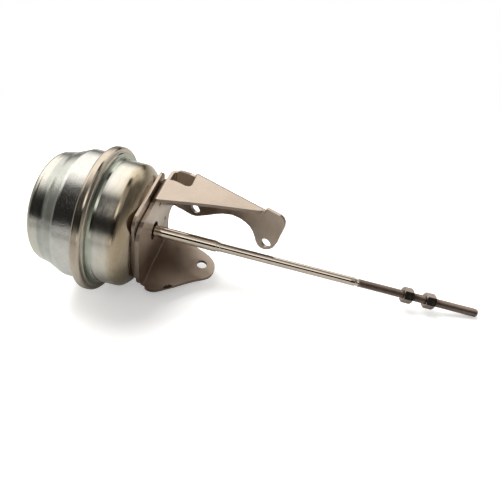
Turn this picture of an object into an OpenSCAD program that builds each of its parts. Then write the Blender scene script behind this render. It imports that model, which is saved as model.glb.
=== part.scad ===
// Vacuum wastegate actuator: a crimped can with a diaphragm and spring, a folded bracket and a threaded rod.
// Every module is drawn with the rim plane of the can at z = 0 and the rod along +Z.
// place() then moves the origin to the rod axis between the two nuts, where the lever plate is clamped.

/* [Can] */
// Outer radius of the rear shell's straight wall
rear_r = 36.6; // [32:0.1:42]
// How far the crimped rim stands out from the rear shell's wall
rim_lip = 4.6; // [4.2:0.1:7]
// How much smaller in radius the front shell's wall is than the rear one's
front_step = 1.3; // [0.5:0.1:3]
// Height of the front shell's flat face above the rim plane
front_h = 22.3; // [21:0.1:30]
// Depth of the rear shell behind the rim plane
rear_h = 30.9; // [29:0.1:45]
// Sheet thickness of both shells
shell_t = 1.0; // [0.7:0.1:1.2]
// Radius of the hole in the front shell and in the backing plate
nose_r = 7.0; // [6.5:0.1:8]

/* [Rod] */
// Radius of the thick section that runs in the bush
shank_r = 3.25; // [3:0.05:4]
// Radius of the thin section
thin_r = 2.5; // [2:0.05:3]
// Major radius of the thread
thread_r = 2.4; // [2:0.05:2.5]
// Height of the step from thick to thin
step_z = 63.2; // [50:0.1:80]
// Height where the thin section ends and the thread's relief starts
thread_z = 144; // [120:0.5:160]
// Height of the rod's tip
tip_z = 216.4; // [190:0.1:230]
// Radial running clearance between the rod and the bush
run_gap = 0.05; // [0.01:0.01:0.1]

/* [Nuts] */
// Width across the flats
nut_af = 8; // [7:0.1:10]
// Height of a nut
nut_h = 5.6; // [4:0.1:7]
// Height of the adjusting nut's rear face
nut1_z = 172.3; // [160:0.1:180]
// Height of the lock nut's rear face
nut2_z = 185.3; // [180:0.1:195]

/* [Bracket] */
// Sheet thickness
sheet = 2.0; // [1.5:0.1:3]
// Height of the welding pads between the backing plate and the base plate
pad_h = 0.5; // [0.2:0.1:1]
// Inner radius of the folds
fold_r = 1.2; // [0.8:0.1:3]
// Outer face of the upper flange, measured from the rod axis
flange_x = 23.5; // [20:0.1:28]
// Inner face of the lower tab, measured from the rod axis
tab_x = 24.5; // [20:0.1:28]
// Inner face of the sloping arm, measured along its normal from the axis at the base plate's front face
arm_n = 33.8; // [30:0.1:40]
// Slope of the arm towards the rod
arm_slope = 20.5; // [0:0.5:30]
// Radius of the two bolt holes in the arm
arm_hole_r = 3.2; // [2.7:0.1:4.3]
// Radius of the bolt hole in the tab
tab_hole_r = 3.2; // [2.7:0.1:4.3]
// Radius of the hole that the rod leaves through
rod_hole_r = 5.5; // [4.5:0.1:7]
// Thickness of the backing plate
backing_t = 1.5; // [1:0.1:2]

/* [Port] */
// Outer radius of the hose nipple's tube
port_r = 2.8; // [2.5:0.1:4]
// Bore radius of the nipple
port_bore_r = 1.5; // [1:0.1:2.5]
// Distance of the nipple's axis behind the rim plane
port_z = 10.8; // [9:0.1:11]
// Direction of the nipple round the can, from +X
port_angle = 44; // [0:1:90]

/* [Hidden] */
$fn = 96;
lever_z = (nut1_z + nut_h + nut2_z)/2;
// Pitch radius of the thread, where the rod and the nuts meet
pitch_r = thread_r - 0.2;
rim_r = rear_r + rim_lip;
front_r = rear_r - front_step;
base_z = front_h + backing_t + pad_h + sheet;
// Crimp: outer radius of what it clamps, and half the diaphragm's thickness there
clamp_r = rim_r - 1.9;
bead = 0.8;
// Diaphragm sheet, its outer leg and its roll round the piston cup
rubber_t = 1.1;
leg_r = rear_r - shell_t - 0.7;
cup_r = rear_r - 9.6;
cup_gap = 0.3;
roll_r = (leg_r - cup_r - cup_gap)/2;
roll_c = cup_r + cup_gap + roll_r;
roll_z = -5.5;
// Piston at rest, from the cup's floor to the retainer's front face
floor_z = 5.8;
floor_t = 1.0;
disc_z = floor_z + floor_t;
retainer_z = disc_z + rubber_t;
shoulder_z = retainer_z + 1.2;
// Bush housing
tube_r = 5.6;
tube_z = shoulder_z + 0.5;
inner_z = front_h - shell_t;

// Unit vector from point a to point b
function dir(a, b) = (b - a)/norm(b - a);
// Left-hand normal of a unit vector
function left(d) = [-d[1], d[0]];
// Mitred offset of an open path by t to its left
function shifted(p, t) = [for (i = [0:len(p) - 1])
    let (n1 = left(dir(p[max(i - 1, 0)], p[max(i, 1)])),
         n2 = left(dir(p[min(i, len(p) - 2)], p[min(i + 1, len(p) - 1)])),
         m = n1 + n2)
    p[i] + m*(2*t/(m*m))];
// Smooth curve through the points of a path
function curve(p, n) = [for (i = [0:len(p) - 2], k = [0:n - 1])
    let (a = p[max(i - 1, 0)], b = p[i], c = p[i + 1], d = p[min(i + 2, len(p) - 1)], u = k/n)
    0.5*((2*b) + (c - a)*u + (2*a - 5*b + 4*c - d)*u*u + (3*b - a - 3*c + d)*u*u*u)];
function reversed(p) = [for (i = [len(p) - 1:-1:0]) p[i]];

module place() {
    translate([0, 0, -lever_z]) children();
}

// Ring with a square section
module ring(r_in, r_out, z0, z1) {
    translate([0, 0, z0]) difference() {
        cylinder(r = r_out, h = z1 - z0);
        translate([0, 0, -1]) cylinder(r = r_in, h = z1 - z0 + 2);
    }
}

// Outer profile of the rear shell from the axis to the flange
corner = 4;
rear_dome = concat([[0, -rear_h]],
    [for (a = [0:10:80]) [rear_r - 9 + corner*sin(a), -rear_h + corner - corner*cos(a)]],
    [[rear_r - 5, -rear_h + corner], [rear_r - 4.3, -24]],
    curve([[rear_r - 3.7, -21.8], [rear_r - 3.2, -20.5], [rear_r - 2.35, -18.8], [rear_r - 1.4, -16.6],
        [rear_r - 0.75, -15.1], [rear_r - 0.25, -14.0], [rear_r, -13.0]], 2),
    [[rear_r, -13.0], [rear_r, -4.0], [rear_r + 0.15, -3.0], [rear_r + 0.7, -2.2]]);

module rear_shell() {
    color("silver") place() difference() {
        union() {
            rotate_extrude() polygon(concat(rear_dome, [[rear_r + 0.7, -bead]],
                [[rear_r - shell_t + 0.8, -bead]], reversed(shifted(rear_dome, shell_t))));
            ring(rear_r, clamp_r, -bead - 1, -bead);
        }
        port_frame() cylinder(r = port_r + 0.05, h = rim_r);
    }
}

// Outer profile of the front shell from the flat face to the rim
front_dome = concat([[nose_r, front_h], [front_r - 9.7, front_h]],
    curve([[front_r - 8.9, front_h - 0.05], [front_r - 7.2, front_h - 0.5], [front_r - 5.4, front_h - 1.5],
        [front_r - 3.6, front_h - 2.8], [front_r - 1.9, front_h - 4.3], [front_r - 0.7, front_h - 5.7],
        [front_r - 0.1, front_h - 7], [front_r, front_h - 8]], 2),
    [[front_r, front_h - 8], [front_r, 5.0], [front_r + 0.3, 3.9], [front_r + 1.0, 3.2],
        [front_r + 1.9, 3.0]]);

module front_shell() {
    color("silver") place() rotate_extrude() polygon(concat(front_dome,
        [[rim_r - 3.0, 3.0], [rim_r - 2.6, 2.4], [rim_r - 2.0, 2.1], [rim_r - 1.3, 2.35],
         [rim_r - 0.6, 2.1], [rim_r - 0.15, 1.5], [rim_r, 0.7], [rim_r, -1.3], [rim_r - 0.15, -2.0],
         [rim_r - 0.6, -2.6], [rim_r - 1.3, -2.85], [rear_r + 1.4, -2.85], [rear_r + 1.0, -2.6],
         [rear_r + 1.0, -1.85], [clamp_r + 0.2, -1.85], [clamp_r + 0.3, -1.6],
         [clamp_r + 0.3, bead + 0.05], [clamp_r - 1.0, bead + 0.05],
         [max(clamp_r - 1.8, front_r + 1.8), 1.85]],
        reversed(shifted(front_dome, -shell_t))));
}

// Frame with its Z axis along the hose nipple
module port_frame() {
    translate([0, 0, -port_z]) rotate([0, 0, port_angle]) rotate([0, 90, 0]) children();
}

module hose_nipple() {
    color("gold") place() difference() {
        port_frame() rotate_extrude() polygon([[port_bore_r, rear_r - shell_t - 0.1],
            [port_r, rear_r - shell_t - 0.1], [port_r, rear_r + 1.6], [port_r + 1.4, rear_r + 1.8],
            [port_r + 1.4, rear_r + 3.0], [port_r, rear_r + 3.2], [port_r, rear_r + 13.2],
            [port_r + 0.2, rear_r + 13.5], [port_r + 0.2, rear_r + 14.3], [port_r - 0.5, rear_r + 18],
            [port_bore_r + 0.3, rear_r + 18.4], [port_bore_r, rear_r + 18.2]]);
        translate([0, 0, -port_z - 9]) cylinder(r = rear_r - shell_t, h = 18);
    }
}

// Brazing ring that seals the nipple to the shell; its foot follows the shell's wall
module nipple_clamp_ring() {
    color("goldenrod") place() difference() {
        port_frame() rotate_extrude() polygon([[port_r + 0.03, rear_r - 2], [port_r + 2.4, rear_r - 2],
            [port_r + 2.4, rear_r + 0.5], [port_r + 1.3, rear_r + 1.5], [port_r + 0.03, rear_r + 1.55]]);
        translate([0, 0, -port_z - 9]) cylinder(r = rear_r + 0.02, h = 18);
    }
}

// Quarter of a ring in a profile, on the side that sx and sy point to
module quarter(r_out, r_in, sx, sy) {
    intersection() {
        difference() {
            circle(r = r_out);
            circle(r = r_in);
        }
        translate([sx < 0 ? -r_out : 0, sy < 0 ? -r_out : 0]) square(r_out);
    }
}

// Rolling diaphragm at rest: bead in the crimp, roll behind it, flat centre on the piston
module diaphragm() {
    turn = 3.2;
    bead_r = rear_r - 1.2;
    color("dimgray") place() rotate_extrude() union() {
        translate([bead_r, -bead]) square([clamp_r - bead_r, 2*bead]);
        translate([leg_r - rubber_t, roll_z]) square([rubber_t, bead - roll_z]);
        translate([leg_r - 0.2, -bead + 0.1]) square([bead_r - leg_r + 0.4, 2*bead - 0.2]);
        translate([roll_c, roll_z]) quarter(roll_r, roll_r - rubber_t, 1, -1);
        translate([roll_c, roll_z]) quarter(roll_r, roll_r - rubber_t, -1, -1);
        translate([cup_r + cup_gap, roll_z]) square([rubber_t, retainer_z - turn - roll_z]);
        translate([cup_r + cup_gap + rubber_t - turn, retainer_z - turn]) quarter(turn, turn - rubber_t, 1, 1);
        translate([2.8, disc_z]) square([cup_r + cup_gap + rubber_t - turn - 2.8, rubber_t]);
    }
}

module piston_cup() {
    bend = 2;
    color("lightsteelblue") place() rotate_extrude() union() {
        translate([2.7, floor_z]) square([cup_r - bend - 2.7, floor_t]);
        translate([cup_r - bend, disc_z - bend]) quarter(bend, bend - floor_t, 1, 1);
        translate([cup_r - floor_t, -8]) square([floor_t, disc_z - bend + 8]);
        translate([cup_r - 2.1, -8]) square([2.1, 0.9]);
    }
}

module retainer_plate() {
    r = cup_r - 4.7;
    color("lightsteelblue") place() rotate_extrude()
        polygon([[2.7, retainer_z], [r - 0.8, retainer_z], [r, retainer_z + 0.6], [r, shoulder_z + 0.4],
            [r - 0.9, shoulder_z + 0.4], [r - 1.2, shoulder_z], [2.7, shoulder_z]]);
}

module rod_washer() {
    color("silver") place() ring(2.7, 9, floor_z - 1, floor_z);
}

// Return spring: one ground turn at each end and open turns between
spring_wire = 1.3;
spring_r = cup_r - 7;
seat_z = -rear_h + shell_t;
seat_t = 1.2;
spring_low = seat_z + seat_t + spring_wire + 0.05;
spring_high = floor_z - spring_wire - 0.05;
spring_turns = 6.5;
function spring_height(u) = let (e = 0.75/spring_turns, dead = spring_wire*2.02*0.75)
    u < e ? spring_low + dead*u/e
    : u > 1 - e ? spring_high - dead*(1 - u)/e
    : spring_low + dead + (spring_high - spring_low - 2*dead)*(u - e)/(1 - 2*e);
spring_steps = 156;
module return_spring() {
    sides = 8;
    pts = [for (i = [0:spring_steps], k = [0:sides - 1])
        let (u = i/spring_steps, a = 360*spring_turns*u, b = 360*k/sides,
             r = spring_r + spring_wire*cos(b))
        [r*cos(a), r*sin(a), spring_height(u) + spring_wire*sin(b)]];
    skin = [for (i = [0:spring_steps - 1], k = [0:sides - 1])
        let (a = i*sides + k, b = i*sides + (k + 1)%sides)
        [a, a + sides, b + sides, b]];
    color("dimgray") place() polyhedron(points = pts, faces = concat(skin,
        [[for (k = [0:sides - 1]) k]],
        [[for (k = [sides - 1:-1:0]) spring_steps*sides + k]]), convexity = 10);
}

// Pressed seat that centres the spring on the rear shell
module spring_seat() {
    lip = spring_r - spring_wire - 0.8;
    color("slategray") place() rotate_extrude() polygon([[lip - 6, seat_z], [rear_r - 10, seat_z],
        [rear_r - 10, seat_z + seat_t], [lip, seat_z + seat_t], [lip - 0.3, seat_z + 7],
        [lip - 1.3, seat_z + 7], [lip - 1.2, seat_z + seat_t], [lip - 6, seat_z + seat_t]]);
}

// Pressed cup that holds the bush and seal in the front shell
module bush_housing() {
    color("silver") place() rotate_extrude() polygon([[tube_r, tube_z], [tube_r + 1.15, tube_z],
        [tube_r + 1.15, inner_z - 1], [nose_r + 6, inner_z - 1], [nose_r + 6, inner_z], [nose_r - 0.05, inner_z],
        [nose_r - 0.05, front_h + backing_t], [4.3, front_h + backing_t],
        [4.3, front_h + backing_t - 0.8], [tube_r, front_h + backing_t - 0.8]]);
}

module guide_bush() {
    color("peru") place() rotate_extrude() polygon([[shank_r + run_gap, tube_z + 1.4],
        [shank_r + run_gap + 0.3, tube_z + 1.1], [tube_r - 0.3, tube_z + 1.1], [tube_r - 0.03, tube_z + 1.4],
        [tube_r - 0.03, inner_z - 1.9], [tube_r - 0.3, inner_z - 1.6], [shank_r + run_gap + 0.3, inner_z - 1.6],
        [shank_r + run_gap, inner_z - 1.9]]);
}

module bush_stop_ring() {
    color("silver") place() ring(4.2, tube_r - 0.03, tube_z + 0.1, tube_z + 1.05);
}

module rod_seal() {
    color("black") place() rotate_extrude() polygon([[shank_r + 0.1, inner_z - 0.9],
        [shank_r + 0.5, inner_z - 1.5], [tube_r - 0.1, inner_z - 1.5], [tube_r - 0.1, inner_z + 1.6],
        [3.9, inner_z + 1.6], [shank_r + 0.1, inner_z + 1], [shank_r + 0.5, inner_z + 0.1]]);
}

module stop_bumper() {
    color("black") place() rotate_extrude() polygon([[tube_r + 1.2, tube_z + 0.1],
        [tube_r + 2, shoulder_z + 0.1], [tube_r + 4.6, shoulder_z + 0.1], [tube_r + 5.4, shoulder_z + 0.8],
        [tube_r + 5.4, tube_z + 3.6], [tube_r + 4.6, tube_z + 4.4], [tube_r + 1.2, tube_z + 4.4]]);
}

// Sheet outline with round corners from two crossed rectangles and four discs
module round_sheet(x0, x1, y0, y1, r) {
    translate([x0 + r, y0]) square([x1 - x0 - 2*r, y1 - y0]);
    translate([x0, y0 + r]) square([x1 - x0, y1 - y0 - 2*r]);
    for (x = [x0 + r, x1 - r], y = [y0 + r, y1 - r]) translate([x, y]) circle(r = r);
}

module backing_plate() {
    color("tan") place() translate([0, 0, front_h]) linear_extrude(backing_t) difference() {
        round_sheet(-25.6, 21.5, -22.8, 24.5, 6);
        circle(r = nose_r);
    }
}

// Welding pads that hold the bracket on the backing plate
pad_r = 17.5;
module spacer_pads() {
    color("tan") place() for (a = [20, 140, 260]) rotate([0, 0, a])
        translate([pad_r, 0, front_h + backing_t]) cylinder(r = 3, h = pad_h);
}

// Frame of the arm: x along the arm from its root, y across it, z outwards
module arm_frame() {
    rotate([arm_slope, 0, 0]) rotate([0, -90, -90]) children();
}

// Frame of the flange and the tab: x along the rod, y towards the arm, z towards -X
module side_frame() {
    rotate([0, -90, 0]) children();
}

// Base plate's front face in the bracket's own drawing, and the arm's inner face there
plate_z = 26.3;
arm_d = arm_n + plate_z*sin(arm_slope);
// Where the arm's fold is centred, in y and z, and along the arm
fold_y = (arm_d - fold_r - sin(arm_slope)*(plate_z + fold_r))/cos(arm_slope);
fold_t = (plate_z + fold_r)*cos(arm_slope) - fold_y*sin(arm_slope);

base_outline = concat([[-flange_x + fold_r + sheet, 18.6], [-18.0, 22.6], [-16.6, fold_y], [10.4, fold_y],
    [9.9, 32.4], [10.3, 29.8], [12.0, 27.6], [14.6, 26.6], [20.0, 26.6], [tab_x - fold_r, 27.4],
    [tab_x - fold_r, -20.4], [21.4, -22.8], [18.5, -24.3], [14, -24.8], [-10.5, -24.0], [-13.8, -23.4],
    [-16.8, -21.6], [-18.8, -18.4], [-19.5, -15], [-19.7, -4.5], [-flange_x + fold_r + sheet, 0.2]]);

flange_outline = [[plate_z + fold_r, 0.3], [29, 0.6], [36.5, 2.5], [44.2, 4.4], [57.4, 7.3], [70, 9.7],
    [79, 11.5], [82.2, 12.2], [83.0, 13.0], [83.3, 17], [41.4, 32.3], [41.3, 19.2], [40.7, 17.6],
    [39.4, 16.9], [37.7, 16.9], [34.5, 17.9], [31.2, 18.8], [plate_z + fold_r, 18.6]];

tab_outline = [[plate_z + fold_r, -20.4], [28.2, -22.2], [30, -23.1], [32.4, -23.3], [34.8, -22.6],
    [37.3, -21], [44.4, -15.8], [49.2, -11.8], [54.3, -8.1], [59.3, -5.1], [61.3, -3.4], [62.7, -1.0],
    [63.4, 1.8], [63.4, 5.2], [62.3, 8.5], [60.3, 11.2], [57.5, 13.5], [53.8, 15.6], [40, 21.6],
    [plate_z + fold_r, 27.4]];

arm_outline = [[fold_t, -16.6], [14.6, -17.8], [17.7, -18.8], [22.8, -19.8],
    [27.9, -flange_x + fold_r + sheet], [74.6, -flange_x + fold_r + sheet], [74.6, -24.2], [83.3, -24.2],
    [85.6, -23.1], [87.0, -21.0], [87.5, -18], [87.1, -13.6], [86.4, -8.5], [86.0, -3.4], [85.0, 0.2],
    [82.9, 3.2], [80.4, 5.1], [77.6, 5.6], [75.2, 4.8], [73.4, 2.6], [71.8, -0.6], [69.9, -3.6],
    [67.4, -5.9], [64, -7.3], [60.3, -7.9], [54.7, -7.3], [48.5, -4.4], [43.3, -0.7], [37.9, 3.5],
    [32.9, 7.2], [29.8, 9.2], [27.4, 10.0], [25.3, 10.2], [19, 10.1], [15.5, 10.4], [fold_t, 10.4]];

module bracket() {
    big = fold_r + sheet;
    color("tan") place() translate([0, 0, base_z - plate_z]) difference() {
        union() {
            // Base plate on the can
            translate([0, 0, plate_z - sheet]) linear_extrude(sheet) polygon(base_outline);
            // Upper flange with its fold along the base plate
            translate([-flange_x + sheet, 0, 0]) side_frame() linear_extrude(sheet) intersection() {
                polygon(flange_outline);
                rotate(-arm_slope) translate([0, -10]) square([120, 9.7 + arm_d - fold_r]);
            }
            translate([-flange_x + big, 0.3, plate_z + fold_r]) rotate([-90, 0, 0]) intersection() {
                ring(fold_r, big, 0, 18.3);
                translate([-9, 0, -1]) cube([9, 9, 30]);
            }
            // Lower tab with its fold
            translate([tab_x + sheet, 0, 0]) side_frame() linear_extrude(sheet) polygon(tab_outline);
            translate([tab_x - fold_r, -20.4, plate_z + fold_r]) rotate([-90, 0, 0]) intersection() {
                ring(fold_r, big, 0, 47.8);
                translate([0, 0, -1]) cube([9, 9, 60]);
            }
            // Sloping arm with its fold along the base plate
            arm_frame() translate([0, 0, arm_d]) linear_extrude(sheet) polygon(arm_outline);
            translate([-16.3, fold_y, plate_z + fold_r]) rotate([90, 0, 90]) intersection() {
                ring(fold_r, big, 0, 26.4);
                linear_extrude(26.4) polygon([[0, 0], [0, -9], [9, -9],
                    [9*cos(arm_slope), 9*sin(arm_slope)]]);
            }
            // Fold between the arm and the upper flange
            arm_frame() translate([27.9, -flange_x + big, arm_d - fold_r]) rotate([90, 0, 90]) intersection() {
                ring(fold_r, big, 0, 46.7);
                translate([-9, 0, -1]) cube([9, 9, 60]);
            }
            arm_frame() translate([27.9, -flange_x, arm_d - fold_r - 0.6]) cube([46.7, sheet, 0.6]);
        }
        translate([0, 0, plate_z - 5]) cylinder(r = rod_hole_r, h = 9);
        arm_frame() translate([29.0, 3.6, arm_d - 5]) cylinder(r = arm_hole_r, h = 12);
        arm_frame() translate([79.8, 0, arm_d - 5]) cylinder(r = arm_hole_r, h = 12);
        translate([tab_x + 6, 5, 55.1]) side_frame() cylinder(r = tab_hole_r, h = 12);
    }
}

module rod() {
    color("gainsboro") place() rotate_extrude() polygon([[0, floor_z - 2.9], [3.4, floor_z - 2.9],
        [4.4, floor_z - 2.3], [4.6, floor_z - 1], [2.6, floor_z - 1], [2.6, shoulder_z], [shank_r, shoulder_z],
        [shank_r, step_z - 0.4], [shank_r - 0.1, step_z],
        [thin_r + 0.35, step_z + 0.9], [thin_r, step_z + 1.3], [thin_r, thread_z], [2.1, thread_z + 0.6],
        [2.1, thread_z + 2.2], [thread_r, thread_z + 2.7], [thread_r, nut1_z - 0.3],
        [pitch_r, nut1_z - 0.3], [pitch_r, nut2_z + nut_h + 0.3],
        [thread_r, nut2_z + nut_h + 0.3], [thread_r, tip_z - 1.5],
        [thread_r - 0.25, tip_z - 0.7], [thread_r - 0.8, tip_z - 0.1], [0, tip_z]]);
}

// Hexagon nut with chamfered corners on both faces
module hex_nut(z0, turn) {
    rc = nut_af/2/cos(30);
    translate([0, 0, z0]) rotate([0, 0, turn]) difference() {
        intersection() {
            cylinder(r = rc, h = nut_h, $fn = 6);
            rotate_extrude() polygon([[0, 0], [nut_af/2 - 0.15, 0], [rc, 0.45], [rc, nut_h - 0.45],
                [nut_af/2 - 0.15, nut_h], [0, nut_h]]);
        }
        translate([0, 0, -1]) cylinder(r = pitch_r + run_gap, h = nut_h + 2);
    }
}

module adjusting_nut() {
    color("tan") place() hex_nut(nut1_z, 14);
}

module lock_nut() {
    color("tan") place() hex_nut(nut2_z, 14);
}

rear_shell();
front_shell();
hose_nipple();
nipple_clamp_ring();
diaphragm();
piston_cup();
retainer_plate();
rod_washer();
return_spring();
spring_seat();
bush_housing();
guide_bush();
bush_stop_ring();
rod_seal();
stop_bumper();
backing_plate();
spacer_pads();
bracket();
rod();
adjusting_nut();
lock_nut();
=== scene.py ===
import math
import random
import bmesh
import bpy
from mathutils import Matrix, Vector

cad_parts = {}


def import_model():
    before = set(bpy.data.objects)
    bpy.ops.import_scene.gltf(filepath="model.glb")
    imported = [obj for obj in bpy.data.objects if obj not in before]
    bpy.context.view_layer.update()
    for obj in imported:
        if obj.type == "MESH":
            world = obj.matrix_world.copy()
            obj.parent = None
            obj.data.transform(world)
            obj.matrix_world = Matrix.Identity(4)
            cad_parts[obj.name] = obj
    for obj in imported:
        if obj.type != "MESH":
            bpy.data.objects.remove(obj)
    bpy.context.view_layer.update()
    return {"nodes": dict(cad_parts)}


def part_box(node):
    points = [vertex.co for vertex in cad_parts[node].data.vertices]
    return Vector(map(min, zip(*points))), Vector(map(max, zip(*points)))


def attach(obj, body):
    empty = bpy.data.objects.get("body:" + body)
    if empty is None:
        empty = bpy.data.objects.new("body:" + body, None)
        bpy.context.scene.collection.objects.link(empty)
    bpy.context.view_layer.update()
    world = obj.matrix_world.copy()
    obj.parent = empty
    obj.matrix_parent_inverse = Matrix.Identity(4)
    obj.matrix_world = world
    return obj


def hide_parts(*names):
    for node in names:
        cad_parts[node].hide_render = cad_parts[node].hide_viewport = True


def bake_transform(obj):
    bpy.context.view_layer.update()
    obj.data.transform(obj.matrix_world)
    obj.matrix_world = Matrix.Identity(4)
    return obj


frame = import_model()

NODES = frame["nodes"]
MM = 0.001
# The frame's origin lies on the rod between the nuts; the can's rim plane is this far behind it.
RIM = -181.6*MM


# Camera and stage

# The photograph's camera, from a fit to the rim, the rod and the bracket
RIGHT = Vector((-0.17592, 0.17695, 0.96837))
DOWN = Vector((0.67202, -0.69724, 0.24949))
AHEAD = Vector((0.71933, 0.69465, 0.00374))
CAMERA_AT = Vector((-166.2, -156.7, -100.6))*MM
FOCAL_PIXELS, PHOTO_PIXELS, SENSOR_MM = 400, 500, 36


def camera():
    place = Matrix.Identity(4)
    for i, axis in enumerate((RIGHT, -DOWN, -AHEAD)):
        for k in range(3):
            place[k][i] = axis[k]
    place.translation = CAMERA_AT
    data = bpy.data.cameras.new("camera")
    data.sensor_width = SENSOR_MM
    data.lens = SENSOR_MM*FOCAL_PIXELS/PHOTO_PIXELS
    data.clip_start = 0.005
    cam = bpy.data.objects.new("camera", data)
    cam.matrix_world = place
    bpy.context.scene.collection.objects.link(cam)
    bpy.context.scene.camera = cam
    return cam


CAM = camera()
# Upwards from the table that the object lies on
UP = Vector((-0.9773, 0.0874, -0.1935)).normalized()


def link(name, mesh, mats=()):
    ob = bpy.data.objects.new(name, mesh)
    bpy.context.scene.collection.objects.link(ob)
    for m in mats:
        mesh.materials.append(m)
    return ob


def lowest():
    """How far along UP the lowest point of the object lies."""
    low = 1e9
    for ob in NODES.values():
        for v in ob.data.vertices:
            low = min(low, UP.dot(v.co))
    return low


# Node tree helpers

def tree_of(mat):
    mat.use_nodes = True
    nt = mat.node_tree
    nt.nodes.clear()
    return nt


def add(nt, kind, **values):
    node = nt.nodes.new(kind)
    for key, value in values.items():
        setattr(node, key, value)
    return node


def wire(nt, a, b):
    nt.links.new(a, b)


def noise(nt, vector, scale, detail=4.0, rough=0.55):
    n = add(nt, "ShaderNodeTexNoise")
    n.inputs["Scale"].default_value = scale
    n.inputs["Detail"].default_value = detail
    n.inputs["Roughness"].default_value = rough
    wire(nt, vector, n.inputs["Vector"])
    return n.outputs["Fac"]


def ramp(nt, value, stops):
    r = add(nt, "ShaderNodeValToRGB")
    els = r.color_ramp.elements
    while len(els) > 1:
        els.remove(els[-1])
    els[0].position, els[0].color = stops[0][0], stops[0][1]
    for pos, col in stops[1:]:
        e = els.new(pos)
        e.color = col
    wire(nt, value, r.inputs["Fac"])
    return r.outputs["Color"]


def grey(v):
    return (v, v, v, 1)


def mix(nt, fac, a, b, mode="MIX"):
    m = add(nt, "ShaderNodeMix", data_type="RGBA", blend_type=mode)
    for value, index in ((fac, 0), (a, 6), (b, 7)):
        if hasattr(value, "node"):
            wire(nt, value, m.inputs[index])
        else:
            m.inputs[index].default_value = value
    return m.outputs[2]


def math_node(nt, op, a, b=0.0):
    m = add(nt, "ShaderNodeMath", operation=op)
    for value, index in ((a, 0), (b, 1)):
        if hasattr(value, "node"):
            wire(nt, value, m.inputs[index])
        else:
            m.inputs[index].default_value = value
    return m.outputs[0]


def finish_metal(nt, color, rough, height, bump, distance, metallic):
    out = add(nt, "ShaderNodeOutputMaterial")
    bsdf = add(nt, "ShaderNodeBsdfPrincipled")
    bsdf.inputs["Metallic"].default_value = metallic
    wire(nt, color, bsdf.inputs["Base Color"])
    wire(nt, rough, bsdf.inputs["Roughness"])
    b = add(nt, "ShaderNodeBump")
    b.inputs["Strength"].default_value = bump
    b.inputs["Distance"].default_value = distance
    wire(nt, height, b.inputs["Height"])
    wire(nt, b.outputs["Normal"], bsdf.inputs["Normal"])
    wire(nt, bsdf.outputs[0], out.inputs["Surface"])


def wear_group():
    """Colour, roughness and height that any of the metals takes: patches, clouds and fine grain."""
    g = bpy.data.node_groups.new("metal_wear", "ShaderNodeTree")
    for name, kind, way in (("Color", "NodeSocketColor", "INPUT"), ("Stain", "NodeSocketColor", "INPUT"),
                            ("Rough", "NodeSocketFloat", "INPUT"), ("Patch", "NodeSocketFloat", "INPUT"),
                            ("Grain", "NodeSocketVector", "INPUT"),
                            ("Color", "NodeSocketColor", "OUTPUT"), ("Roughness", "NodeSocketFloat", "OUTPUT"),
                            ("Height", "NodeSocketFloat", "OUTPUT")):
        g.interface.new_socket(name, in_out=way, socket_type=kind)
    gi = add(g, "NodeGroupInput")
    go = add(g, "NodeGroupOutput")
    base = add(g, "ShaderNodeTexCoord").outputs["Object"]
    scaled = add(g, "ShaderNodeVectorMath", operation="MULTIPLY")
    wire(g, base, scaled.inputs[0])
    wire(g, gi.outputs["Grain"], scaled.inputs[1])
    patches = noise(g, base, 55, 5, 0.6)
    cloud = noise(g, base, 260, 6, 0.65)
    grain = noise(g, scaled.outputs[0], 1.0, 3, 0.6)
    mask = ramp(g, patches, [(0.38, grey(0)), (0.68, grey(1))])
    stain = math_node(g, "MULTIPLY", mask, gi.outputs["Patch"])
    col = mix(g, stain, gi.outputs["Color"], gi.outputs["Stain"])
    tone = ramp(g, cloud, [(0.3, grey(0.86)), (0.7, grey(1.0))])
    col = mix(g, 1.0, col, tone, "MULTIPLY")
    tone2 = ramp(g, grain, [(0.3, grey(0.87)), (0.7, grey(1.0))])
    col = mix(g, 1.0, col, tone2, "MULTIPLY")
    wire(g, col, go.inputs["Color"])
    uneven = math_node(g, "ADD", cloud, math_node(g, "MULTIPLY", grain, 0.5))
    wire(g, math_node(g, "MULTIPLY", gi.outputs["Rough"], math_node(g, "ADD", uneven, 0.25)), go.inputs["Roughness"])
    h = math_node(g, "ADD", math_node(g, "MULTIPLY", grain, 0.6), math_node(g, "MULTIPLY", cloud, 0.5))
    wire(g, h, go.inputs["Height"])
    return g


WEAR = wear_group()


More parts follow.
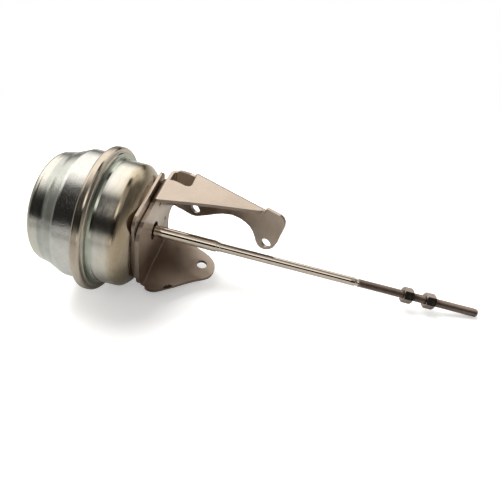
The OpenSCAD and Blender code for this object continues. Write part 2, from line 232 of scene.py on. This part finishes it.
def tint_and_shade_group():
    """Colour of the zinc along the can, by distance from the rim plane in millimetres, with painted shade in it: a
    dark band in the groove just in front of the rim, and a golden brown nose darkened towards its face.
    """
    # The stops from 2.9 to 4.6 mm darken the groove before the rim with painted shade; those from 15.2 mm on turn the
    # nose golden brown and darken it towards its face with painted shade.
    stops = [(-31, (0.74, 0.71, 0.60)), (-27, (0.80, 0.78, 0.71)), (-24.3, (0.74, 0.73, 0.67)),
             (-23.4, (0.52, 0.54, 0.50)), (-15.5, (0.56, 0.58, 0.54)), (-14.3, (0.76, 0.76, 0.74)),
             (-6, (0.80, 0.79, 0.76)), (-3.1, (0.66, 0.64, 0.58)), (-2.8, (0.62, 0.53, 0.44)),
             (2.4, (0.64, 0.56, 0.47)), (2.9, (0.42, 0.45, 0.385)), (4.6, (0.54, 0.57, 0.50)),
             (7.0, (0.80, 0.78, 0.73)), (12.5, (0.80, 0.75, 0.65)), (15.2, (0.60, 0.49, 0.35)),
             (18.0, (0.49, 0.38, 0.255)), (22.3, (0.43, 0.34, 0.25))]
    low, high = stops[0][0], stops[-1][0]
    g = bpy.data.node_groups.new("zinc_tint_and_shade", "ShaderNodeTree")
    g.interface.new_socket("Color", in_out="OUTPUT", socket_type="NodeSocketColor")
    go = add(g, "NodeGroupOutput")
    coord = add(g, "ShaderNodeTexCoord")
    xyz = add(g, "ShaderNodeSeparateXYZ")
    wire(g, coord.outputs["Object"], xyz.inputs[0])
    wobble = noise(g, coord.outputs["Object"], 60, 3, 0.5)
    shift = math_node(g, "MULTIPLY", math_node(g, "SUBTRACT", wobble, 0.5), 1.5*MM)
    along = math_node(g, "ADD", xyz.outputs["Z"], shift)
    s = math_node(g, "DIVIDE", math_node(g, "SUBTRACT", along, RIM + low*MM), (high - low)*MM)
    col = ramp(g, s, [((at - low)/(high - low), (*c, 1)) for at, c in stops])
    wire(g, col, go.inputs["Color"])
    return g


ZINC_TINT_AND_SHADE = tint_and_shade_group()


ARM_SLOPE = math.radians(20.5)


def edge_group():
    """1 on the cut edges and folds of the bracket's sheet, 0 on its flat faces, from the object's own normals; the
    metal darkens these with painted shade.
    """
    g = bpy.data.node_groups.new("sheet_edge", "ShaderNodeTree")
    g.interface.new_socket("Edge", in_out="OUTPUT", socket_type="NodeSocketFloat")
    go = add(g, "NodeGroupOutput")
    coord = add(g, "ShaderNodeTexCoord")
    flat = 0.0
    for face in ((0, 0, 1), (1, 0, 0), (0, math.cos(ARM_SLOPE), math.sin(ARM_SLOPE))):
        dot = add(g, "ShaderNodeVectorMath", operation="DOT_PRODUCT")
        dot.inputs[1].default_value = face
        wire(g, coord.outputs["Normal"], dot.inputs[0])
        flat = math_node(g, "MAXIMUM", math_node(g, "ABSOLUTE", dot.outputs["Value"]), flat)
    wire(g, math_node(g, "LESS_THAN", flat, 0.985), go.inputs["Edge"])
    return g


def span(nt, value, low, high, start, end):
    """Smooth step of a value from start at low to end at high."""
    m = add(nt, "ShaderNodeMapRange", interpolation_type="SMOOTHSTEP")
    for name, number in (("From Min", low), ("From Max", high), ("To Min", start), ("To Max", end)):
        m.inputs[name].default_value = number
    wire(nt, value, m.inputs["Value"])
    return m.outputs[0]


def painted_shade_group():
    """Mask of the painted shade on the bracket: dark brown round the fold between its base plate and its tab, fading
    out towards the tips.
    """
    g = bpy.data.node_groups.new("sheet_painted_shade", "ShaderNodeTree")
    g.interface.new_socket("Shade", in_out="OUTPUT", socket_type="NodeSocketFloat")
    go = add(g, "NodeGroupOutput")
    coord = add(g, "ShaderNodeTexCoord")
    xyz = add(g, "ShaderNodeSeparateXYZ")
    wire(g, coord.outputs["Object"], xyz.inputs[0])
    across = span(g, xyz.outputs["X"], -8*MM, 14*MM, 0, 1)
    along = span(g, xyz.outputs["Z"], RIM + 32*MM, RIM + 66*MM, 1, 0)
    wire(g, math_node(g, "MULTIPLY", across, along), go.inputs["Shade"])
    return g


EDGE = edge_group()
PAINTED_SHADE = painted_shade_group()


def metal(name, color, stain, rough, grain, patch, bump, distance=0.04*MM, metallic=1.0, tint_and_shade=None, edges=False):
    """A worn metal: grain is the fineness along X, Y and Z, patch how much of the stain's colour shows. The colour
    group given for the can brings painted shade with it, and edges adds the bracket's painted shade on its cut edges,
    its folds and round the fold of base plate and tab.
    """
    mat = bpy.data.materials.new(name)
    nt = tree_of(mat)
    g = add(nt, "ShaderNodeGroup", node_tree=WEAR)
    g.inputs["Color"].default_value = (*color, 1)
    # The colour along the can carries painted shade in the groove before the rim and on the nose.
    if tint_and_shade:
        t = add(nt, "ShaderNodeGroup", node_tree=tint_and_shade)
        wire(nt, t.outputs["Color"], g.inputs["Color"])
    g.inputs["Stain"].default_value = (*stain, 1)
    g.inputs["Rough"].default_value = rough
    g.inputs["Patch"].default_value = patch
    g.inputs["Grain"].default_value = grain
    tone = g.outputs["Color"]
    if edges:
        # Painted shade: the sheet turns dark brown round the fold of its base plate and tab.
        fold_shade = add(nt, "ShaderNodeGroup", node_tree=PAINTED_SHADE)
        tone = mix(nt, math_node(nt, "MULTIPLY", fold_shade.outputs["Shade"], 0.72), tone, (0.21, 0.15, 0.115, 1))
        # Painted shade: the cut edges and folds are darkened towards dark brown.
        e = add(nt, "ShaderNodeGroup", node_tree=EDGE)
        tone = mix(nt, math_node(nt, "MULTIPLY", e.outputs["Edge"], 0.7), tone, (0.20, 0.15, 0.12, 1))
    finish_metal(nt, tone, g.outputs["Roughness"], g.outputs["Height"], bump, distance, metallic)
    return mat


MATS = {
    "zinc": metal("zinc_plate", (0.80, 0.81, 0.77), (0.74, 0.72, 0.58), 0.18, (160, 160, 1400), 0.35, 0.10,
                  tint_and_shade=ZINC_TINT_AND_SHADE),
    "zinc_rear": metal("zinc_plate_rear", (0.79, 0.82, 0.80), (0.72, 0.73, 0.66), 0.13, (1250, 1250, 1250), 0.3, 0.9,
                       distance=0.08*MM, tint_and_shade=ZINC_TINT_AND_SHADE),
    "bracket": metal("bracket_sheet", (0.78, 0.66, 0.555), (0.58, 0.49, 0.415), 0.37, (2400, 2400, 2400), 0.5, 0.07,
                     edges=True),
    "rod": metal("rod_polished", (0.82, 0.72, 0.62), (0.74, 0.64, 0.54), 0.07, (2600, 2600, 60), 0.2, 0.006),
    "thread": metal("thread_dull", (0.36, 0.29, 0.25), (0.24, 0.19, 0.16), 0.36, (500, 500, 900), 0.7, 0.3),
    "nut": metal("nut_dull", (0.50, 0.42, 0.365), (0.36, 0.29, 0.25), 0.20, (700, 700, 700), 0.5, 0.2),
    "mark": metal("mark_dark", (0.10, 0.075, 0.06), (0.06, 0.05, 0.04), 0.55, (900, 900, 900), 0.5, 0.3),
    "nipple": metal("nipple_plate", (0.74, 0.75, 0.70), (0.72, 0.70, 0.52), 0.26, (500, 500, 500), 0.5, 0.15),
    "braze": metal("braze_filler", (0.72, 0.56, 0.30), (0.45, 0.33, 0.18), 0.38, (400, 400, 400), 0.7, 0.6),
    "inner": metal("inner_sheet", (0.56, 0.57, 0.56), (0.42, 0.42, 0.40), 0.34, (300, 300, 900), 0.5, 0.2),
    "spring": metal("spring_wire", (0.20, 0.20, 0.22), (0.12, 0.11, 0.11), 0.30, (900, 900, 900), 0.6, 0.2),
    "bronze": metal("bush_bronze", (0.62, 0.43, 0.24), (0.45, 0.30, 0.16), 0.40, (1500, 1500, 1500), 0.5, 0.4),
    "rubber": metal("rubber_black", (0.035, 0.035, 0.038), (0.06, 0.06, 0.06), 0.62, (800, 800, 800), 0.4, 0.4,
                    metallic=0.0),
}

FINISH = {"rear_shell": "zinc_rear", "front_shell": "zinc", "hose_nipple": "nipple", "nipple_clamp_ring": "braze",
          "diaphragm": "rubber", "piston_cup": "inner", "retainer_plate": "inner", "rod_washer": "inner",
          "return_spring": "spring", "spring_seat": "inner", "bush_housing": "inner", "guide_bush": "bronze",
          "bush_stop_ring": "inner", "rod_seal": "rubber", "stop_bumper": "rubber", "backing_plate": "bracket",
          "spacer_pads": "bracket", "bracket": "bracket", "rod": "rod", "adjusting_nut": "nut", "lock_nut": "nut"}


def paint_nodes():
    for name, ob in NODES.items():
        mat = MATS[FINISH[name]]
        if not ob.material_slots:
            ob.data.materials.append(mat)
        for s in ob.material_slots:
            s.material = mat


paint_nodes()


# Rod: turned shank, step, thin section, relief and a cut thread

def revolve(profile, segments, twist=None, loop=False):
    """Surface of revolution round Z; twist gives the radius where it isn't round, loop closes a ring's section."""
    bm = bmesh.new()
    rows = []
    for r, z in profile:
        if r < 1e-7:
            rows.append([bm.verts.new((0, 0, z))])
            continue
        row = []
        for k in range(segments):
            a = 2*math.pi*k/segments
            rr = twist(r, z, a) if twist else r
            row.append(bm.verts.new((rr*math.cos(a), rr*math.sin(a), z)))
        rows.append(row)
    for a, b in zip(rows, rows[1:] + rows[:1] if loop else rows[1:]):
        for k in range(segments):
            k2 = (k + 1) % segments
            quad = [a[k % len(a)], a[k2 % len(a)], b[k2 % len(b)], b[k % len(b)]]
            unique = []
            for v in quad:
                if v not in unique:
                    unique.append(v)
            if len(unique) > 2:
                bm.faces.new(unique)
    bmesh.ops.recalc_face_normals(bm, faces=bm.faces)
    for e in bm.edges:
        e.smooth = len(e.link_faces) == 2 and e.calc_face_angle() < math.radians(32)
    mesh = bpy.data.meshes.new("revolved")
    bm.to_mesh(mesh)
    bm.free()
    return mesh


# Cut thread, in millimetres from the rim plane
THREAD_FROM, THREAD_TO, PITCH, THREAD_R, THREAD_DEPTH = 146.4, 215.6, 0.8, 2.4, 0.42


def thread_radius(r, z, a):
    """Cuts a 60 degree thread between the relief and the tip."""
    s = z/MM - RIM/MM
    if s < THREAD_FROM or s > THREAD_TO + 0.6:
        return r
    phase = (s/PITCH - a/(2*math.pi)) % 1.0
    depth = max(0.0, min(1.0, abs(phase - 0.5)*2.3 - 0.12))*THREAD_DEPTH
    fade = min(1.0, (s - THREAD_FROM)/1.2, (THREAD_TO + 0.6 - s)/0.8)
    return min(r, THREAD_R*MM - depth*MM*max(0.0, fade))


def make_rod():
    """The profile's points are radius and distance from the rim plane."""
    pts = [(0, 2.9), (3.2, 2.9), (3.7, 3.0), (4.3, 3.4), (4.55, 4.0), (4.6, 4.8), (2.6, 4.8), (2.6, 9.1), (3.15, 9.1),
           (3.25, 9.3)]
    pts += [(3.25, 9.3 + (62.8 - 9.3)*i/24) for i in range(1, 25)]
    pts += [(3.05, 63.0), (2.78, 63.0), (2.78, 64.7), (2.5, 65.0)]
    pts += [(2.5, 65.0 + (143.8 - 65.0)*i/30) for i in range(1, 31)]
    pts += [(2.42, 144.1), (2.15, 144.6), (2.1, 144.9), (2.1, 146.2), (2.2, 146.45)]
    n = int((THREAD_TO - THREAD_FROM)/0.1)
    pts += [(THREAD_R, THREAD_FROM + 0.1 + (THREAD_TO - THREAD_FROM - 0.2)*i/n) for i in range(n + 1)]
    pts += [(2.15, 215.85), (1.9, 216.1), (1.6, 216.3), (0, 216.4)]
    profile = [(r*MM, s*MM + RIM) for r, s in pts]
    mesh = revolve(profile, 40, thread_radius)
    mesh.materials.append(MATS["rod"])
    mesh.materials.append(MATS["thread"])
    for p in mesh.polygons:
        p.use_smooth = True
        if p.center.z > RIM + 146.3*MM:
            p.material_index = 1
    ob = link("turned_rod", mesh)
    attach(ob, "rod")
    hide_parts("rod")


make_rod()


# Spring and diaphragm: the spring stays as built, and the diaphragm's roll and centre move with the rod while its
# bead stays with the can

def make_spring(turns=6.5, dead=0.75, wire_r=1.3, steps=260, sides=12):
    """Round wire between the seat and the piston cup; the dead turns lie flat at both ends."""
    lo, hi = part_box("return_spring")
    low, high = lo[2]/MM + wire_r, hi[2]/MM - wire_r
    mean = (hi[0] - lo[0])/2/MM - wire_r
    rise, edge = 2.02*wire_r*dead, dead/turns
    bm = bmesh.new()
    rings = []
    for i in range(steps + 1):
        u = i/steps
        if u < edge:
            z = low + rise*u/edge
        elif u > 1 - edge:
            z = high - rise*(1 - u)/edge
        else:
            z = low + rise + (high - low - 2*rise)*(u - edge)/(1 - 2*edge)
        a = 2*math.pi*turns*u
        ring = []
        for k in range(sides):
            b = 2*math.pi*k/sides
            r = mean + wire_r*math.cos(b)
            ring.append(bm.verts.new((r*math.cos(a)*MM, r*math.sin(a)*MM, (z + wire_r*math.sin(b))*MM)))
        rings.append(ring)
    for p, q in zip(rings, rings[1:]):
        for k in range(sides):
            bm.faces.new((p[k], q[k], q[(k + 1) % sides], p[(k + 1) % sides])).smooth = True
    bm.faces.new(rings[0])
    bm.faces.new(reversed(rings[-1]))
    bmesh.ops.recalc_face_normals(bm, faces=bm.faces)
    mesh = bpy.data.meshes.new("wound_spring")
    bm.to_mesh(mesh)
    bm.free()
    ob = link("wound_spring", mesh, [MATS["spring"]])
    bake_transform(ob)
    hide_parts("return_spring")


def arc(cx, cz, r, start, end, n=8):
    """Points of an arc in a profile, by angle in degrees."""
    return [(cx + r*math.cos(math.radians(start + (end - start)*i/n)),
             cz + r*math.sin(math.radians(start + (end - start)*i/n))) for i in range(n + 1)]


def make_diaphragm():
    """The clamped outer part stays with the can; the roll and the centre follow the piston."""
    t = 1.1
    outer = [(39.3, -0.8), (39.3, 0.8), (33.8, 0.8), (33.8, -5.4), (34.9, -5.4), (34.9, -0.8)]
    roll, inside = arc(30.3, -5.5, 3.0, 0, -180, 16), arc(30.3, -5.5, 3.0 - t, -180, 0, 16)
    corner = arc(25.2, 4.7, 3.2, 0, 90)
    inner = (roll + [(27.3, 4.7 - 0.9)] + arc(25.2, 4.7, 3.2 - t, 0, 90) + [(3.4, 6.8), (3.4, 6.8 + t)]
             + corner[::-1] + inside)
    for name, profile, body in (("diaphragm_bead", outer, "can"), ("diaphragm_roll", inner, "rod")):
        mesh = revolve([(r*MM, z*MM + RIM) for r, z in profile], 72, loop=True)
        for f in mesh.polygons:
            f.use_smooth = True
        ob = link(name, mesh, [MATS["rubber"]])
        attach(ob, body)
        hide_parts("diaphragm")


make_spring()
make_diaphragm()


# Marks of making on the bracket

def chip(name, points, thickness, material):
    """Thin closed slab: points is its outline on a surface, thickness the way it stands out."""
    bm = bmesh.new()
    low = [bm.verts.new(Vector(q)*MM) for q in points]
    high = [bm.verts.new((Vector(q) + Vector(thickness))*MM) for q in points]
    n = len(points)
    bm.faces.new(low)
    bm.faces.new(high)
    for k in range(n):
        bm.faces.new((low[k], low[(k + 1) % n], high[(k + 1) % n], high[k]))
    bmesh.ops.recalc_face_normals(bm, faces=bm.faces)
    mesh = bpy.data.meshes.new(name)
    bm.to_mesh(mesh)
    bm.free()
    ob = link(name, mesh, [material])
    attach(ob, "can")


def bracket_marks():
    """Two round weld marks on the base plate and a torn burr on the tab's lower edge."""
    front, inner_face = RIM/MM + 26.3, 24.55
    for k, (x, y) in enumerate(((7.3, 19.2), (-12.4, 9.1))):
        outline = [(x + 1.2*math.cos(math.radians(a)), y + 1.2*math.sin(math.radians(a)), front - 0.02)
                   for a in range(0, 360, 20)]
        chip("weld_mark_%d" % k, outline, (0, 0, 0.05), MATS["mark"])
    rng = random.Random(4)
    for k in range(7):
        along = 38.9 + 0.62*k
        edge = -18.9 + 0.74*(along - 40.0)
        size = 0.45 + 0.45*rng.random()
        outline = [(inner_face, edge - 0.2 + size*(0.5 + (0.9 + 0.5*rng.random())*math.cos(math.radians(a))),
                    RIM/MM + along + 0.9*size*math.sin(math.radians(a))) for a in range(0, 360, 60)]
        chip("burr_%d" % k, outline, (-0.35 - 0.5*rng.random(), 0, 0), MATS["mark"])


bracket_marks()


# Floor, light and world

CENTRE = Vector((0, 0, -0.13))
FLOOR_GAP, FLOOR_REACH = 0.0004, 3


def floor():
    """White to the camera, greyer in reflections, and clear from below."""
    low = lowest()
    side = UP.orthogonal().normalized()
    other = UP.cross(side).normalized()
    bm = bmesh.new()
    centre = UP*(low - FLOOR_GAP)
    for sx, sy in ((-1, -1), (1, -1), (1, 1), (-1, 1)):
        bm.verts.new(centre + side*sx*FLOOR_REACH + other*sy*FLOOR_REACH)
    face = bm.faces.new(bm.verts)
    face.normal_update()
    if face.normal.dot(UP) < 0:
        face.normal_flip()
    mesh = bpy.data.meshes.new("floor")
    bm.to_mesh(mesh)
    bm.free()
    mat = bpy.data.materials.new("floor_white")
    nt = tree_of(mat)
    out = add(nt, "ShaderNodeOutputMaterial")
    path = add(nt, "ShaderNodeLightPath")
    seen = add(nt, "ShaderNodeBsdfDiffuse")
    seen.inputs["Color"].default_value = (0.93, 0.93, 0.93, 1)
    lift = add(nt, "ShaderNodeEmission")
    lift.inputs["Strength"].default_value = 0.32
    both = add(nt, "ShaderNodeAddShader")
    wire(nt, seen.outputs[0], both.inputs[0])
    wire(nt, lift.outputs[0], both.inputs[1])
    # Far from the object the floor is plain white
    coord = add(nt, "ShaderNodeTexCoord")
    away = add(nt, "ShaderNodeVectorMath", operation="DISTANCE")
    away.inputs[1].default_value = CENTRE
    wire(nt, coord.outputs["Object"], away.inputs[0])
    plain = add(nt, "ShaderNodeEmission")
    fade = add(nt, "ShaderNodeMixShader")
    wire(nt, span(nt, away.outputs["Value"], 0.2, 0.45, 0, 1), fade.inputs[0])
    wire(nt, both.outputs[0], fade.inputs[1])
    wire(nt, plain.outputs[0], fade.inputs[2])
    mirrored = add(nt, "ShaderNodeBsdfDiffuse")
    mirrored.inputs["Color"].default_value = (0.48, 0.48, 0.465, 1)
    pick = add(nt, "ShaderNodeMixShader")
    wire(nt, path.outputs["Is Camera Ray"], pick.inputs[0])
    wire(nt, mirrored.outputs[0], pick.inputs[1])
    wire(nt, fade.outputs[0], pick.inputs[2])
    # Seen from below the floor lets everything through
    facing = add(nt, "ShaderNodeNewGeometry")
    clear = add(nt, "ShaderNodeBsdfTransparent")
    below = add(nt, "ShaderNodeMixShader")
    wire(nt, facing.outputs["Backfacing"], below.inputs[0])
    wire(nt, pick.outputs[0], below.inputs[1])
    wire(nt, clear.outputs[0], below.inputs[2])
    wire(nt, below.outputs[0], out.inputs["Surface"])
    ob = link("floor", mesh, [mat])


floor()


def area(name, direction, distance, size, power):
    """Light that shines on the middle of the object and doesn't show in reflections."""
    data = bpy.data.lights.new(name, "AREA")
    data.shape = "RECTANGLE"
    data.size, data.size_y = size
    data.energy = power
    ob = bpy.data.objects.new(name, data)
    d = direction.normalized()
    ob.location = CENTRE + d*distance
    ob.rotation_euler = (-d).to_track_quat("-Z", "Y").to_euler()
    ob.visible_glossy = False
    bpy.context.scene.collection.objects.link(ob)


# Level direction from the camera to the object
BACK = (-(CAM.matrix_world.to_3x3() @ Vector((0, 0, 1)))).normalized()
BACK = (BACK - UP*BACK.dot(UP)).normalized()
area("key", UP*1.0 + BACK*0.35 - RIGHT*0.25, 0.75, (0.6, 0.45), 6)
area("fill", UP*0.7 - BACK*0.8 + RIGHT*0.3, 0.8, (0.5, 0.3), 1.2)


def warm(v):
    return (v, 0.97*v, 0.92*v, 1)


def world():
    """Studio of bright and dark bands round the object, seen only in reflections; the camera sees white."""
    w = bpy.data.worlds.new("studio")
    bpy.context.scene.world = w
    w.use_nodes = True
    nt = w.node_tree
    nt.nodes.clear()
    out = add(nt, "ShaderNodeOutputWorld")
    path = add(nt, "ShaderNodeLightPath")
    seen = add(nt, "ShaderNodeBackground")
    seen.inputs["Color"].default_value = (1, 1, 1, 1)
    seen.inputs["Strength"].default_value = 1.0
    lit = add(nt, "ShaderNodeBackground")
    lit.inputs["Strength"].default_value = 1.25
    coord = add(nt, "ShaderNodeTexCoord")
    parts = []
    for axis in (UP, -BACK):
        dot = add(nt, "ShaderNodeVectorMath", operation="DOT_PRODUCT")
        dot.inputs[1].default_value = axis
        wire(nt, coord.outputs["Generated"], dot.inputs[0])
        parts.append(dot.outputs["Value"])
    # 0 is the horizon on the camera's side, 0.5 straight up and 1 the horizon behind the object
    turn = math_node(nt, "DIVIDE", math_node(nt, "ARCTAN2", parts[0], parts[1]), math.pi)
    # Each ramp is what one part of the object reflects, by turn
    rear = ramp(nt, turn, [(0.0, warm(0.42)), (0.06, warm(0.38)), (0.11, warm(0.05)), (0.16, warm(0.02)),
                           (0.36, warm(0.02)), (0.45, warm(0.12)), (0.52, warm(0.8)), (0.60, warm(1.3)),
                           (0.84, warm(1.2)), (0.95, warm(0.25)), (1.0, warm(0.15))])
    front = ramp(nt, turn, [(0.0, warm(0.42)), (0.08, warm(0.36)), (0.125, warm(0.015)), (0.32, warm(0.015)),
                            (0.35, warm(0.07)), (0.41, warm(0.14)), (0.45, warm(0.09)), (0.51, warm(0.9)),
                            (0.62, warm(1.4)), (0.84, warm(1.2)), (0.95, warm(0.25)), (1.0, warm(0.15))])
    rod = ramp(nt, turn, [(0.0, warm(0.75)), (0.04, warm(0.7)), (0.07, warm(0.008)), (0.25, warm(0.008)),
                          (0.28, warm(1.2)), (0.35, warm(1.1)), (0.40, warm(0.42)), (0.56, warm(0.38)),
                          (0.595, warm(0.02)), (0.675, warm(0.02)), (0.72, warm(1.3)), (0.88, warm(0.9)),
                          (0.95, warm(0.05)), (1.0, warm(0.05))])
    nuts = ramp(nt, turn, [(0.0, warm(0.30)), (0.02, warm(0.01)), (0.24, warm(0.01)), (0.28, warm(0.35)),
                           (0.55, warm(0.35)), (0.62, warm(0.10)), (0.72, warm(0.7)), (0.93, warm(0.8)),
                           (1.0, warm(0.2))])
    ends = ramp(nt, turn, [(0.0, warm(0.40)), (0.10, warm(0.34)), (0.18, warm(0.17)), (0.55, warm(0.19)),
                           (0.70, warm(0.4)), (1.0, warm(0.2))])
    right = ramp(nt, turn, [(0.0, warm(0.24)), (0.10, warm(0.18)), (0.2, warm(0.10)), (0.6, warm(0.11)),
                            (0.8, warm(0.16)), (1.0, warm(0.13))])
    # The bands follow each other along the rod's direction
    across = add(nt, "ShaderNodeVectorMath", operation="DOT_PRODUCT")
    across.inputs[1].default_value = (0, 0, 1)
    wire(nt, coord.outputs["Generated"], across.inputs[0])
    bands = ends
    for start, end, following in ((-0.95, -0.90, rear), (-0.375, -0.355, front), (-0.305, -0.265, rod),
                            (0.27, 0.31, nuts), (0.55, 0.7, right)):
        bands = mix(nt, span(nt, across.outputs["Value"], start, end, 0, 1), bands, following)
    wire(nt, bands, lit.inputs["Color"])
    pick = add(nt, "ShaderNodeMixShader")
    wire(nt, path.outputs["Is Camera Ray"], pick.inputs[0])
    wire(nt, lit.outputs[0], pick.inputs[1])
    wire(nt, seen.outputs[0], pick.inputs[2])
    wire(nt, pick.outputs[0], out.inputs["Surface"])


world()
scene = bpy.context.scene
scene.view_settings.view_transform = "Standard"
